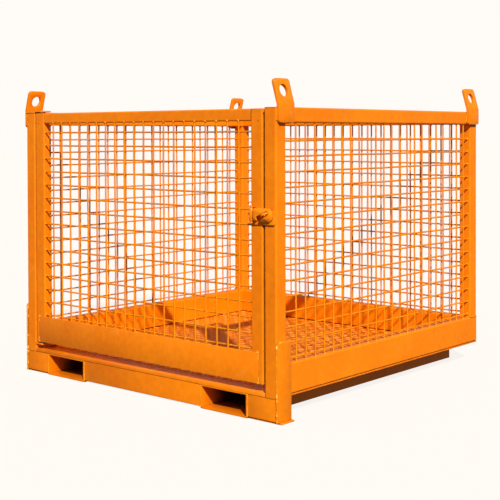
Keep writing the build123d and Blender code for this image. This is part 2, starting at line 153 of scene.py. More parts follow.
def add_piece(
    piece: bpy.types.Object, body: Body, stands_for: tuple[str, ...] = ()
) -> None:
    """Tie a finished piece to its body and the CAD nodes it replaces.

    Args:
        piece: Finished object at the origin.
        body: Body that the piece moves with.
        stands_for: CAD nodes that the piece is shown in place of.
    """
    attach(piece, body.value)
    if stands_for:
        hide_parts(*stands_for)
    log.info("%s: %d faces on %s", piece.name, len(piece.data.polygons), body.value)


# ---------------------------------------------------------------------------
# Finishes
# ---------------------------------------------------------------------------


@dataclass(frozen=True)
class SprayedEnamel:
    """Alkyd enamel sprayed over welded mild steel, with its sizes in millimetres.

    The coat gives a soft gloss with fine orange peel. Its colour drifts slowly where
    it lies thicker or thinner, and it turns pale and dull where things have rubbed it.
    Painted shade darkens the colour wherever ambient occlusion finds a seam or gap, so seams and
    gaps read as dark lines.
    """

    name: str
    colour: str = "#EE8103"
    thin: str = "#F28704"
    thick: str = "#E97A02"
    rubbed: str = "#F2A03C"
    # painted shade: a dark colour mixed in at crevices, with its reach and strength
    crevice_shade: str = "#3A140A"
    crevice_shade_mm: float = 13.0
    crevice_shade_strength: float = 0.9
    # dark colour deep in the fork tubes: bare steel, plus painted shade for the dark inside of the
    # tube
    bare_steel_and_shade: str = "#5C2A14"
    fade_to_dark_from_mm: float = 0.0
    fade_to_dark_over_mm: float = 110.0
    tube_middle_mm: float = 405.0
    tube_half_inside_mm: float = 101.0
    specular: float = 0.32
    drift_mm: float = 260.0
    cloud_mm: float = 22.0
    peel_mm: float = 3.0
    peel_depth_mm: float = 0.05
    wave_mm: float = 120.0
    wave_depth_mm: float = 0.25
    scuff_mm: float = 60.0
    scuff_share: float = 0.12
    scuff_strength: float = 0.35
    edge_mm: float = 0.0
    worn_above_mm: float = 0.0
    roughness: float = 0.36
    rough_drift: float = 0.10

    def material(self) -> bpy.types.Material:
        """Build the enamel as a node material.

        Returns:
            The finished material.
        """
        material = bpy.data.materials.new(self.name)
        material.use_nodes = True
        tree = material.node_tree
        shader = tree.nodes["Principled BSDF"]
        place = add_node(tree, "ShaderNodeTexCoord").outputs["Object"]
        drift = add_node(
            tree,
            "ShaderNodeTexNoise",
            {"Vector": place, "Scale": 1 / (self.drift_mm * MM), "Detail": 4.0, "Roughness": 0.55},
        )
        coat = add_node(
            tree,
            "ShaderNodeValToRGB",
            {"Fac": drift.outputs["Fac"]},
        )
        coat.color_ramp.elements[0].position = 0.32
        coat.color_ramp.elements[0].color = linear(self.thick)
        coat.color_ramp.elements[1].position = 0.68
        coat.color_ramp.elements[1].color = linear(self.thin)
        middle = coat.color_ramp.elements.new(0.5)
        middle.color = linear(self.colour)
        cloud = add_node(
            tree,
            "ShaderNodeTexNoise",
            {"Vector": place, "Scale": 1 / (self.cloud_mm * MM), "Detail": 3.0},
        )
        shade = add_node(
            tree,
            "ShaderNodeMapRange",
            {
                "Value": cloud.outputs["Fac"],
                "From Min": 0.3,
                "From Max": 0.7,
                "To Min": 0.93,
                "To Max": 1.06,
            },
        )
        tinted = add_node(
            tree,
            "ShaderNodeMix",
            {0: 1.0, 6: coat.outputs["Color"], 7: shade.outputs["Result"]},
            data_type="RGBA",
            blend_type="MULTIPLY",
        )
        worn = self._worn(tree, place)
        colour = add_node(
            tree,
            "ShaderNodeMix",
            {0: worn, 6: tinted.outputs[2], 7: linear(self.rubbed)},
            data_type="RGBA",
        )
        gloss = add_node(
            tree,
            "ShaderNodeMapRange",
            {
                "Value": drift.outputs["Fac"],
                "From Min": 0.3,
                "From Max": 0.7,
                "To Min": self.roughness - self.rough_drift / 2,
                "To Max": self.roughness + self.rough_drift / 2,
            },
        )
        rough = add_node(
            tree,
            "ShaderNodeMath",
            {0: worn, 1: 0.22, 2: gloss.outputs["Result"]},
            operation="MULTIPLY_ADD",
        )
        shaded_colour = self._paint_shade_and_bare_tube(tree, place, colour.outputs[2])
        tree.links.new(shaded_colour, shader.inputs["Base Color"])
        tree.links.new(rough.outputs[0], shader.inputs["Roughness"])
        tree.links.new(self._relief(tree, place), shader.inputs["Normal"])
        shader.inputs["IOR"].default_value = 1.5
        shader.inputs["Specular IOR Level"].default_value = self.specular
        return material

    def _paint_shade_and_bare_tube(
        self,
        tree: bpy.types.NodeTree,
        place: bpy.types.NodeSocket,
        clean: bpy.types.NodeSocket,
    ) -> bpy.types.NodeSocket:
        """Paint shade into the coat in crevices, and inside a long tube let the colour run out to
        dark bare steel that also stands in for shade.

        Args:
            tree: Node tree of the material.
            place: Object coordinates.
            clean: Colour of the clean coat.

        Returns:
            Colour socket for the shader.
        """
        # deep in a fork tube the colour fades to dark brown: bare steel where the spray missed,
        # plus painted shade for the shaded inside
        if self.fade_to_dark_from_mm > 0:
            along = add_node(tree, "ShaderNodeSeparateXYZ", {0: place})
            depth = add_node(
                tree, "ShaderNodeMath", {0: along.outputs["Y"]}, operation="ABSOLUTE"
            )
            deep_in_tube = add_node(
                tree,
                "ShaderNodeMapRange",
                {
                    "Value": depth.outputs[0],
                    "From Min": self.fade_to_dark_from_mm * MM,
                    "From Max": (self.fade_to_dark_from_mm - self.fade_to_dark_over_mm) * MM,
                },
            )
            side = add_node(tree, "ShaderNodeMath", {0: along.outputs["X"]}, operation="ABSOLUTE")
            inside = add_node(
                tree,
                "ShaderNodeMath",
                {
                    0: side.outputs[0],
                    1: self.tube_middle_mm * MM,
                    2: self.tube_half_inside_mm * MM,
                },
                operation="COMPARE",
            )
            bare_and_shaded = add_node(
                tree,
                "ShaderNodeMath",
                {0: deep_in_tube.outputs["Result"], 1: inside.outputs[0]},
                operation="MULTIPLY",
            )
            clean = add_node(
                tree,
                "ShaderNodeMix",
                {0: bare_and_shaded.outputs[0], 6: clean, 7: linear(self.bare_steel_and_shade)},
                data_type="RGBA",
            ).outputs[2]
        # painted shade: ambient occlusion darkens the colour in seams, gaps and corners, where
        # shade falls
        openness = add_node(
            tree,
            "ShaderNodeAmbientOcclusion",
            {"Distance": self.crevice_shade_mm * MM},
            samples=6,
        )
        painted_shade_amount = add_node(
            tree,
            "ShaderNodeMapRange",
            {
                "Value": openness.outputs["AO"],
                "From Min": 0.62,
                "From Max": 0.22,
                "To Max": self.crevice_shade_strength,
            },
        )
        return add_node(
            tree,
            "ShaderNodeMix",
            {0: painted_shade_amount.outputs["Result"], 6: clean, 7: linear(self.crevice_shade)},
            data_type="RGBA",
        ).outputs[2]

    def _worn(self, tree: bpy.types.NodeTree, place: bpy.types.NodeSocket) -> bpy.types.NodeSocket:
        """Mark where the coat is rubbed: in scuffs, on edges and on raised spots.

        Args:
            tree: Node tree of the material.
            place: Object coordinates.

        Returns:
            Socket with 0 for a fresh coat and 1 for a rubbed one.
        """
        scuff = add_node(
            tree,
            "ShaderNodeTexNoise",
            {"Vector": place, "Scale": 1 / (self.scuff_mm * MM), "Detail": 7.0, "Roughness": 0.72},
        )
        mask = add_node(
            tree,
            "ShaderNodeMapRange",
            {
                "Value": scuff.outputs["Fac"],
                "From Min": 0.72 - self.scuff_share,
                "From Max": 0.80 - self.scuff_share / 2,
                "To Max": self.scuff_strength,
            },
        ).outputs["Result"]
        if self.edge_mm > 0:
            rounded = add_node(
                tree, "ShaderNodeBevel", {"Radius": self.edge_mm * MM}, samples=4
            )
            flat = add_node(tree, "ShaderNodeNewGeometry")
            facing = add_node(
                tree,
                "ShaderNodeVectorMath",
                {0: rounded.outputs[0], 1: flat.outputs["Normal"]},
                operation="DOT_PRODUCT",
            )
            edge = add_node(
                tree,
                "ShaderNodeMapRange",
                {
                    "Value": facing.outputs["Value"],
                    "From Min": 0.995,
                    "From Max": 0.80,
                    "To Max": 0.55,
                },
            )
            broken = add_node(
                tree,
                "ShaderNodeMath",
                {0: edge.outputs["Result"], 1: scuff.outputs["Fac"]},
                operation="MULTIPLY",
            )
            mask = add_node(
                tree, "ShaderNodeMath", {0: mask, 1: broken.outputs[0]}, operation="MAXIMUM"
            ).outputs[0]
        if self.worn_above_mm > 0:
            height = add_node(tree, "ShaderNodeSeparateXYZ", {0: place})
            raised = add_node(
                tree,
                "ShaderNodeMapRange",
                {
                    "Value": height.outputs["Z"],
                    "From Min": self.worn_above_mm * MM,
                    "From Max": (self.worn_above_mm + 0.8) * MM,
                    "To Max": 0.5,
                },
            )
            mask = add_node(
                tree,
                "ShaderNodeMath",
                {0: mask, 1: raised.outputs["Result"]},
                operation="MAXIMUM",
            ).outputs[0]
        return mask

    def _relief(
        self, tree: bpy.types.NodeTree, place: bpy.types.NodeSocket
    ) -> bpy.types.NodeSocket:
        """Make the coat's orange peel over the slow waves of drawn steel.

        Args:
            tree: Node tree of the material.
            place: Object coordinates.

        Returns:
            Normal socket for the shader.
        """
        wave = add_node(
            tree,
            "ShaderNodeTexNoise",
            {"Vector": place, "Scale": 1 / (self.wave_mm * MM), "Detail": 1.0},
        )
        slow = add_node(
            tree,
            "ShaderNodeBump",
            {"Height": wave.outputs["Fac"], "Distance": self.wave_depth_mm * MM, "Strength": 1.0},
        )
        # real peel is about 1 mm across, drawn at 3 mm so that it shows
        peel = add_node(
            tree,
            "ShaderNodeTexNoise",
            {"Vector": place, "Scale": 1 / (self.peel_mm * MM), "Detail": 2.0},
        )
        return add_node(
            tree,
            "ShaderNodeBump",
            {
                "Height": peel.outputs["Fac"],
                "Distance": self.peel_depth_mm * MM,
                "Strength": 1.0,
                "Normal": slow.outputs["Normal"],
            },
        ).outputs["Normal"]


@dataclass(frozen=True)
class TurnedSteel:
    """Bright zinc-plated steel bar turned on a lathe.

    The tool leaves fine rings along the axis, and grease and dust dull it in patches.
    """

    name: str
    colour: str = "#A9A59B"
    grimy: str = "#5E5347"
    ring_mm: float = 1.2
    patch_mm: float = 9.0
    roughness: float = 0.3

    def material(self) -> bpy.types.Material:
        """Build the turned steel as a node material.

        Returns:
            The finished material.
        """
        material = bpy.data.materials.new(self.name)
        material.use_nodes = True
        tree = material.node_tree
        shader = tree.nodes["Principled BSDF"]
        place = add_node(tree, "ShaderNodeTexCoord").outputs["Object"]
        patch = add_node(
            tree,
            "ShaderNodeTexNoise",
            {"Vector": place, "Scale": 1 / (self.patch_mm * MM), "Detail": 5.0},
        )
        colour = add_node(
            tree,
            "ShaderNodeMix",
            {0: patch.outputs["Fac"], 6: linear(self.colour), 7: linear(self.grimy)},
            data_type="RGBA",
        )
        # tool marks are about 0.2 mm apart, drawn at 1.2 mm so that they show
        rings = add_node(
            tree,
            "ShaderNodeTexWave",
            {"Vector": place, "Scale": 1 / (self.ring_mm * MM) / math.tau, "Distortion": 0.4},
            bands_direction="Z",
        )
        bump = add_node(
            tree,
            "ShaderNodeBump",
            {"Height": rings.outputs["Fac"], "Distance": 0.03 * MM, "Strength": 1.0},
        )
        rough = add_node(
            tree,
            "ShaderNodeMapRange",
            {
                "Value": patch.outputs["Fac"],
                "To Min": self.roughness - 0.08,
                "To Max": self.roughness + 0.3,
            },
        )
        tree.links.new(colour.outputs[2], shader.inputs["Base Color"])
        tree.links.new(rough.outputs["Result"], shader.inputs["Roughness"])
        tree.links.new(bump.outputs["Normal"], shader.inputs["Normal"])
        shader.inputs["Metallic"].default_value = 1.0
        return material


@dataclass
class Finishes:
    """Every finish of the cage, built once."""

    # soft even gloss on drawn tube, with slow waves in it
    frame: bpy.types.Material = field(
        default_factory=lambda: SprayedEnamel("Enamel_on_square_tube").material()
    )
    # the same coat on cut plate, thin and pale along the edges
    plate: bpy.types.Material = field(
        default_factory=lambda: SprayedEnamel(
            "Enamel_on_cut_plate", edge_mm=1.6, scuff_share=0.16, scuff_mm=40.0
        ).material()
    )
    # a thinner, yellower coat that follows the drawn wire
    wire: bpy.types.Material = field(
        default_factory=lambda: SprayedEnamel(
            "Enamel_on_drawn_wire",
            colour="#E08402",
            thin="#E88C04",
            thick="#D67A01",
            drift_mm=90.0,
            cloud_mm=12.0,
            peel_depth_mm=0.03,
            roughness=0.40,
        ).material()
    )
    # a dull coat, rubbed pale on top of each raised tear
    floor: bpy.types.Material = field(
        default_factory=lambda: SprayedEnamel(
            "Enamel_on_chequer_plate",
            colour="#E27503",
            thin="#E97E05",
            thick="#D86A02",
            rubbed="#F09420",
            scuff_mm=95.0,
            scuff_share=0.20,
            scuff_strength=0.5,
            worn_above_mm=85.9,
            roughness=0.44,
        ).material()
    )
    # a glossy, uneven coat that catches the light on each ripple of a bead
    weld: bpy.types.Material = field(
        default_factory=lambda: SprayedEnamel(
            "Enamel_on_weld_bead",
            colour="#F08E10",
            thin="#F5A030",
            thick="#E97E05",
            drift_mm=30.0,
            cloud_mm=7.0,
            wave_mm=9.0,
            wave_depth_mm=0.4,
            roughness=0.32,
        ).material()
    )
    # paint drawn thin over a lump plus a painted highlight make the tack pale beside the tube
    tack: bpy.types.Material = field(
        default_factory=lambda: SprayedEnamel(
            "Pale_enamel_with_painted_highlight_on_tack_weld",
            colour="#F5B04A",
            thin="#F9CB7C",
            thick="#F0962A",
            drift_mm=14.0,
            cloud_mm=5.0,
            wave_mm=7.0,
            wave_depth_mm=0.5,
            roughness=0.28,
            crevice_shade_strength=0.4,
        ).material()
    )
    # orange at the mouth, then fading to dark bare steel that also serves as painted shade deep
    # inside the tube
    pocket: bpy.types.Material = field(
        default_factory=lambda: SprayedEnamel(
            "Enamel_running_out_to_bare_steel_and_painted_shade_in_tube", fade_to_dark_from_mm=604.0
        ).material()
    )
    # handled paint: glossier than the frame and rubbed along its edges
    latch: bpy.types.Material = field(
        default_factory=lambda: SprayedEnamel(
            "Enamel_on_hasp",
            edge_mm=1.2,
            scuff_mm=18.0,
            scuff_share=0.2,
            cloud_mm=9.0,
            roughness=0.30,
        ).material()
    )
    # bright metal with fine turned rings and dull greasy patches
    steel: bpy.types.Material = field(
        default_factory=lambda: TurnedSteel("Zinc_plated_turned_steel").material()
    )


# ---------------------------------------------------------------------------
# Geometry Nodes
# ---------------------------------------------------------------------------


class SocketKind(Enum):
    """Kinds of input that the trees take."""

    GEOMETRY = "NodeSocketGeometry"
    NUMBER = "NodeSocketFloat"
    COUNT = "NodeSocketInt"
    VECTOR = "NodeSocketVector"
    MATERIAL = "NodeSocketMaterial"


@dataclass
class GrownShape:
    """A Geometry Nodes tree with named inputs, and the way to keep its result."""

    name: str
    inputs: dict[str, SocketKind]
    tree: bpy.types.NodeTree = field(init=False)
    given: bpy.types.Node = field(init=False)

    def __post_init__(self) -> None:
        """Make the empty tree with its named inputs and one geometry output."""
        self.tree = bpy.data.node_groups.new(self.name, "GeometryNodeTree")
        for name, kind in self.inputs.items():
            self.tree.interface.new_socket(name=name, in_out="INPUT", socket_type=kind.value)
        self.tree.interface.new_socket(
            name="Geometry", in_out="OUTPUT", socket_type=SocketKind.GEOMETRY.value
        )
        self.given = self.tree.nodes.new("NodeGroupInput")

    def close(self, geometry: bpy.types.NodeSocket, smooth: bool = True) -> None:
        """End the tree with real geometry, its shading and its finish.

        Args:
            geometry: Geometry to hand out.
            smooth: True for smooth shading.
        """
        real = add_node(self.tree, "GeometryNodeRealizeInstances", {"Geometry": geometry})
        shaded = add_node(
            self.tree,
            "GeometryNodeSetShadeSmooth",
            {"Geometry": real.outputs[0], "Shade Smooth": smooth},
        )
        coloured = add_node(
            self.tree,
            "GeometryNodeSetMaterial",
            {"Geometry": shaded.outputs[0], "Material": self.given.outputs["Material"]},
        )
        add_node(self.tree, "NodeGroupOutput", {0: coloured.outputs[0]})

    def grow(
        self, name: str, values: dict[str, object], base: bpy.types.Mesh | None = None
    ) -> bpy.types.Object:
        """Run the tree and keep the result as a plain mesh.

        Args:
            name: Name of the new piece.
            values: Input name and its value.
            base: Mesh that the tree starts from, if it needs one.

        Returns:
            The new object, with no modifier left on it.
        """
        host = link_object(name, base or bpy.data.meshes.new(name))
        modifier = host.modifiers.new("Grow", "NODES")
        modifier.node_group = self.tree
        for socket in self.tree.interface.items_tree:
            if socket.in_out == "INPUT" and socket.name in values:
                modifier[socket.identifier] = values[socket.name]
        graph = bpy.context.evaluated_depsgraph_get()
        result = bpy.data.meshes.new_from_object(host.evaluated_get(graph))
        host.modifiers.remove(modifier)
        host.data = result
        result.name = name
        return host


def wire_panel_shape() -> GrownShape:
    """Make the tree for a panel of round wires welded where they cross.

    Returns:
        Tree with uprights, cross wires, and a nugget at each crossing and wire end.
    """
    shape = GrownShape(
        "Welded_wire_panel",
        {
            "Columns": SocketKind.COUNT,
            "Rows": SocketKind.COUNT,
            "First crossing": SocketKind.VECTOR,
            "Column step": SocketKind.VECTOR,
            "Row step": SocketKind.VECTOR,
            "Upright foot": SocketKind.VECTOR,
            "Upright run": SocketKind.VECTOR,
            "Cross start": SocketKind.VECTOR,
            "Cross run": SocketKind.VECTOR,
            "Wire radius": SocketKind.NUMBER,
            "Nugget radius": SocketKind.NUMBER,
            "End weld radius": SocketKind.NUMBER,
            "Warp": SocketKind.NUMBER,
            "Warp length": SocketKind.NUMBER,
            "Seed": SocketKind.COUNT,
            "Material": SocketKind.MATERIAL,
        },
    )
    tree = shape.tree
    given = shape.given.outputs
    ring = add_node(
        tree,
        "GeometryNodeCurvePrimitiveCircle",
        {"Resolution": 8, "Radius": given["Wire radius"]},
        mode="RADIUS",
    )
    lump = add_node(
        tree, "GeometryNodeMeshUVSphere", {"Segments": 6, "Rings": 4, "Radius": 1.0}
    )
    parts = []
    line_sets = (
        ("Columns", "Column step", "Upright foot", "Upright run"),
        ("Rows", "Row step", "Cross start", "Cross run"),
    )
    for count, step, start, run in line_sets:
        places = add_node(
            tree,
            "GeometryNodeMeshLine",
            {"Count": given[count], "Start Location": given[start], "Offset": given[step]},
        )
        stretch = add_node(tree, "GeometryNodeCurvePrimitiveLine", {"End": given[run]})
        divided = add_node(
            tree, "GeometryNodeResampleCurve", {"Curve": stretch.outputs[0], "Count": 24}
        )
        bar = add_node(
            tree,
            "GeometryNodeCurveToMesh",
            {"Curve": divided.outputs[0], "Profile Curve": ring.outputs[0], "Fill Caps": True},
        )
        wires = add_node(
            tree,
            "GeometryNodeInstanceOnPoints",
            {"Points": places.outputs[0], "Instance": bar.outputs[0]},
        )
        parts.append(wires.outputs[0])
        far_ends = add_node(
            tree,
            "GeometryNodeTransform",
            {"Geometry": places.outputs[0], "Translation": given[run]},
        )
        both_ends = add_node(
            tree, "GeometryNodeJoinGeometry", {0: [places.outputs[0], far_ends.outputs[0]]}
        )
        spread = add_node(
            tree,
            "FunctionNodeRandomValue",
            {0: (0.75, 0.75, 0.75), 1: (1.15, 1.15, 1.15), "Seed": given["Seed"]},
            data_type="FLOAT_VECTOR",
        )
        size = add_node(
            tree,
            "ShaderNodeVectorMath",
            {0: spread.outputs[0], "Scale": given["End weld radius"]},
            operation="SCALE",
        )
        end_welds = add_node(
            tree,
            "GeometryNodeInstanceOnPoints",
            {"Points": both_ends.outputs[0], "Instance": lump.outputs[0], "Scale": size.outputs[0]},
        )
        parts.append(end_welds.outputs[0])
    column_places = add_node(
        tree,
        "GeometryNodeMeshLine",
        {
            "Count": given["Columns"],
            "Start Location": given["First crossing"],
            "Offset": given["Column step"],
        },
    )
    row_places = add_node(
        tree, "GeometryNodeMeshLine", {"Count": given["Rows"], "Offset": given["Row step"]}
    )
    crossings = add_node(
        tree,
        "GeometryNodeInstanceOnPoints",
        {"Points": row_places.outputs[0], "Instance": column_places.outputs[0]},
    )
    crossing_points = add_node(
        tree, "GeometryNodeRealizeInstances", {"Geometry": crossings.outputs[0]}
    )
    uneven = add_node(
        tree,
        "FunctionNodeRandomValue",
        {0: (0.8, 0.8, 0.8), 1: (1.2, 1.2, 1.2), "Seed": given["Seed"]},
        data_type="FLOAT_VECTOR",
    )
    nugget_size = add_node(
        tree,
        "ShaderNodeVectorMath",
        {0: uneven.outputs[0], "Scale": given["Nugget radius"]},
        operation="SCALE",
    )
    nuggets = add_node(
        tree,
        "GeometryNodeInstanceOnPoints",
        {
            "Points": crossing_points.outputs[0],
            "Instance": lump.outputs[0],
            "Scale": nugget_size.outputs[0],
        },
    )
    parts.append(nuggets.outputs[0])
    joined = add_node(tree, "GeometryNodeJoinGeometry", {0: parts})
    real = add_node(tree, "GeometryNodeRealizeInstances", {"Geometry": joined.outputs[0]})
    # the whole panel is bent by one slow field, so crossing wires stay in touch
    here = add_node(tree, "GeometryNodeInputPosition")
    moved = add_node(
        tree,
        "ShaderNodeVectorMath",
        {0: here.outputs[0], 1: given["Seed"]},
        operation="ADD",
    )
    tightness = add_node(
        tree, "ShaderNodeMath", {0: 1.0, 1: given["Warp length"]}, operation="DIVIDE"
    )
    field_noise = add_node(
        tree,
        "ShaderNodeTexNoise",
        {"Vector": moved.outputs[0], "Scale": tightness.outputs[0], "Detail": 1.0},
    )
    centred = add_node(
        tree,
        "ShaderNodeVectorMath",
        {0: field_noise.outputs["Color"], 1: (0.5, 0.5, 0.5)},
        operation="SUBTRACT",
    )
    push = add_node(
        tree,
        "ShaderNodeVectorMath",
        {0: centred.outputs[0], "Scale": given["Warp"]},
        operation="SCALE",
    )
    bent = add_node(
        tree,
        "GeometryNodeSetPosition",
        {"Geometry": real.outputs[0], "Offset": push.outputs[0]},
    )
    shape.close(bent.outputs[0])
    return shape


def chequer_shape() -> GrownShape:
    """Make the tree that raises slanted tears on a plate.

    Returns:
        Tree that adds tears in alternate directions to the plate it is given.
    """
    shape = GrownShape(
        "Chequer_tears",
        {
            "Geometry": SocketKind.GEOMETRY,
            "Middle": SocketKind.VECTOR,
            "Size across": SocketKind.NUMBER,
            "Size along": SocketKind.NUMBER,
            "Tears across": SocketKind.COUNT,
            "Tears along": SocketKind.COUNT,
            "Tear length": SocketKind.NUMBER,
            "Tear width": SocketKind.NUMBER,
            "Tear height": SocketKind.NUMBER,
            "Seed": SocketKind.COUNT,
            "Material": SocketKind.MATERIAL,
        },
    )
    tree = shape.tree
    given = shape.given.outputs
    grid = add_node(
        tree,
        "GeometryNodeMeshGrid",
        {
            "Size X": given["Size across"],
            "Size Y": given["Size along"],
            "Vertices X": given["Tears across"],
            "Vertices Y": given["Tears along"],
        },
    )
    placed = add_node(
        tree, "GeometryNodeTransform", {"Geometry": grid.outputs[0], "Translation": given["Middle"]}
    )
    stud = add_node(
        tree,
        "GeometryNodeMeshCone",
        {"Vertices": 8, "Radius Top": 0.55, "Radius Bottom": 1.0, "Depth": 1.0},
        fill_type="NGON",
    )
    index = add_node(tree, "GeometryNodeInputIndex")
    column = add_node(
        tree, "ShaderNodeMath", {0: index.outputs[0], 1: given["Tears along"]}, operation="DIVIDE"
    )
    whole = add_node(tree, "ShaderNodeMath", {0: column.outputs[0]}, operation="FLOOR")
    both = add_node(
        tree, "ShaderNodeMath", {0: whole.outputs[0], 1: index.outputs[0]}, operation="ADD"
    )
    odd_along = add_node(
        tree,
        "ShaderNodeMath",
        {0: whole.outputs[0], 1: given["Tears along"], 2: both.outputs[0]},
        operation="MULTIPLY_ADD",
    )
    parity = add_node(
        tree, "ShaderNodeMath", {0: odd_along.outputs[0], 1: 2.0}, operation="FLOORED_MODULO"
    )
    turn = add_node(
        tree,
        "ShaderNodeMath",
        {0: parity.outputs[0], 1: math.radians(90), 2: math.radians(45)},
        operation="MULTIPLY_ADD",
    )
    rotation = add_node(tree, "ShaderNodeCombineXYZ", {"Z": turn.outputs[0]})
    uneven = add_node(
        tree,
        "FunctionNodeRandomValue",
        {2: 0.92, 3: 1.06, "Seed": given["Seed"]},
        data_type="FLOAT",
    )
    size = add_node(
        tree,
        "ShaderNodeCombineXYZ",
        {"X": given["Tear length"], "Y": given["Tear width"], "Z": given["Tear height"]},
    )
    varied = add_node(
        tree,
        "ShaderNodeVectorMath",
        {0: size.outputs[0], "Scale": uneven.outputs[1]},
        operation="SCALE",
    )
    tears = add_node(
        tree,
        "GeometryNodeInstanceOnPoints",
        {
            "Points": placed.outputs[0],
            "Instance": stud.outputs[0],
            "Rotation": rotation.outputs[0],
            "Scale": varied.outputs[0],
        },
    )
    joined = add_node(
        tree, "GeometryNodeJoinGeometry", {0: [given["Geometry"], tears.outputs[0]]}
    )
    shape.close(joined.outputs[0], smooth=False)
    return shape


def weld_shape() -> GrownShape:
    """Make the tree that lays a rippled weld bead along every edge it is given.

    Returns:
        Tree that turns edges into beads.
    """
    shape = GrownShape(
        "Weld_bead",
        {
            "Geometry": SocketKind.GEOMETRY,
            "Bead radius": SocketKind.NUMBER,
            "Ripple": SocketKind.NUMBER,
            "Unevenness": SocketKind.NUMBER,
            "Seed": SocketKind.COUNT,
            "Material": SocketKind.MATERIAL,
        },
    )
    tree = shape.tree
    given = shape.given.outputs
    path = add_node(tree, "GeometryNodeMeshToCurve", {"Mesh": given["Geometry"]})
    steps = add_node(
        tree,
        "GeometryNodeResampleCurve",
        {"Curve": path.outputs[0], "Length": given["Ripple"]},
        mode="LENGTH",
    )
    ring = add_node(
        tree,
        "GeometryNodeCurvePrimitiveCircle",
        {"Resolution": 7, "Radius": given["Bead radius"]},
        mode="RADIUS",
    )
    least = add_node(
        tree, "ShaderNodeMath", {0: 1.0, 1: given["Unevenness"]}, operation="SUBTRACT"
    )
    swell = add_node(
        tree,
        "FunctionNodeRandomValue",
        {2: least.outputs[0], 3: 1.0, "Seed": given["Seed"]},
        data_type="FLOAT",
    )
    bead = add_node(
        tree,
        "GeometryNodeCurveToMesh",
        {
            "Curve": steps.outputs[0],
            "Profile Curve": ring.outputs[0],
            "Scale": swell.outputs[1],
            "Fill Caps": True,
        },
    )
    shape.close(bead.outputs[0])
    return shape


# ---------------------------------------------------------------------------
# Sub-assemblies
# ---------------------------------------------------------------------------


@dataclass
class WirePanel:
    """One flat panel of drawn wire, welded at each crossing."""

    node: str
    body: Body
    across: Vector
    outward: Vector
    seed: int
    pitch: float = 50 * MM
    wire: float = 6 * MM
    lap: float = 1.0 * MM
    bite: float = 1.5 * MM
    warp: float = 4 * MM
    warp_length: float = 260 * MM

    def build(self, shape: GrownShape, finish: bpy.types.Material) -> bpy.types.Object:
        """Grow the panel inside the box of the CAD panel.

        Args:
            shape: Tree of a welded wire panel.
            finish: Enamel on the wire.

        Returns:
            The panel, which stands for its CAD node.
        """
        columns, rows = self._places()
        low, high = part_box(self.node)
        inner, outer = self._depths(low, high)
        along = self.across
        first = along * columns[0] + self.outward * outer
        cross_low = along.dot(low) - self.bite
        cross_length = along.dot(high) + self.bite - cross_low
        up = Vector((0, 0, 1))
        cross_level = self.outward * inner + up * rows[0]
        piece = shape.grow(
            f"{self.node}_round_wire",
            {
                "Columns": len(columns),
                "Rows": len(rows),
                "First crossing": first + up * rows[0] - self.outward * (self.wire - self.lap) / 2,
                "Column step": along * self.pitch,
                "Row step": up * self.pitch,
                "Upright foot": first + up * (low.z - self.bite),
                "Upright run": up * (high.z - low.z + 2 * self.bite),
                "Cross start": cross_level + along * cross_low,
                "Cross run": along * cross_length,
                "Wire radius": self.wire / 2,
                "Nugget radius": self.wire * 0.66,
                "End weld radius": self.wire * 1.0,
                "Warp": self.warp,
                "Warp length": self.warp_length,
                "Seed": self.seed,
                "Material": finish,
            },
        )
        add_piece(piece, self.body, (self.node,))
        return piece

    def _depths(self, low: Vector, high: Vector) -> tuple[float, float]:
        """Find how far out the cross wires and the uprights lie.

        Args:
            low: Lowest corner of the CAD panel.
            high: Highest corner of the CAD panel.

        Returns:
            Distance along the outward direction of the cross wires and of the uprights.
        """
        ends = sorted((self.outward.dot(low), self.outward.dot(high)))
        return ends[0] + self.wire / 2, ends[1] - self.wire / 2

    def _places(self) -> tuple[list[float], list[float]]:
        """Read where the uprights and the cross wires of the CAD panel are.

        Returns:
            Places of the uprights along the panel, and heights of the cross wires.
        """
        low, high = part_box(self.node)
        points = [vertex.co for vertex in frame["nodes"][self.node].data.vertices]
        feet = sorted({round(self.across.dot(p), 5) for p in points if p.z < low.z + 1e-5})
        side = self.across.dot(low)
        ends = sorted(
            {round(p.z, 5) for p in points if abs(self.across.dot(p) - side) < 1e-5}
        )
        columns = [(a + b) / 2 for a, b in zip(feet[::2], feet[1::2])]
        rows = [(a + b) / 2 for a, b in zip(ends[::2], ends[1::2])]
        return columns, rows


@dataclass
class ChequerFloor:
    """The floor of chequer plate, with slanted tears rolled into its top."""

    node: str = "floor_plate"
    edge: float = 0.8 * MM
    margin: float = 16 * MM
    pitch: float = 31 * MM
    tear_half_length: float = 14 * MM
    tear_half_width: float = 4.4 * MM
    tear_height: float = 2.8 * MM

    def build(self, shape: GrownShape, finish: bpy.types.Material) -> bpy.types.Object:
        """Grow the tears on a copy of the plate.

        Args:
            shape: Tree of the chequer tears.
            finish: Enamel on the floor.

        Returns:
            The floor, which stands for its CAD node.
        """
        low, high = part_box(self.node)
        inside_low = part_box("left_side_beam")[1].x + self.margin
        inside_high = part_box("right_side_beam")[0].x - self.margin
        front = low.y + self.margin
        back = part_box("rear_beam")[0].y - self.margin
        across = inside_high - inside_low
        along = back - front
        piece = shape.grow(
            "chequer_floor",
            {
                "Middle": Vector(
                    ((inside_low + inside_high) / 2, (front + back) / 2, high.z)
                ),
                "Size across": across,
                "Size along": along,
                "Tears across": round(across / self.pitch) + 1,
                "Tears along": round(along / self.pitch) + 1,
                "Tear length": self.tear_half_length,
                "Tear width": self.tear_half_width,
                "Tear height": self.tear_height,
                "Seed": 11,
                "Material": finish,
            },
            eased_copy(self.node, self.edge),
        )
        add_piece(piece, Body.CAGE, (self.node,))
        return piece


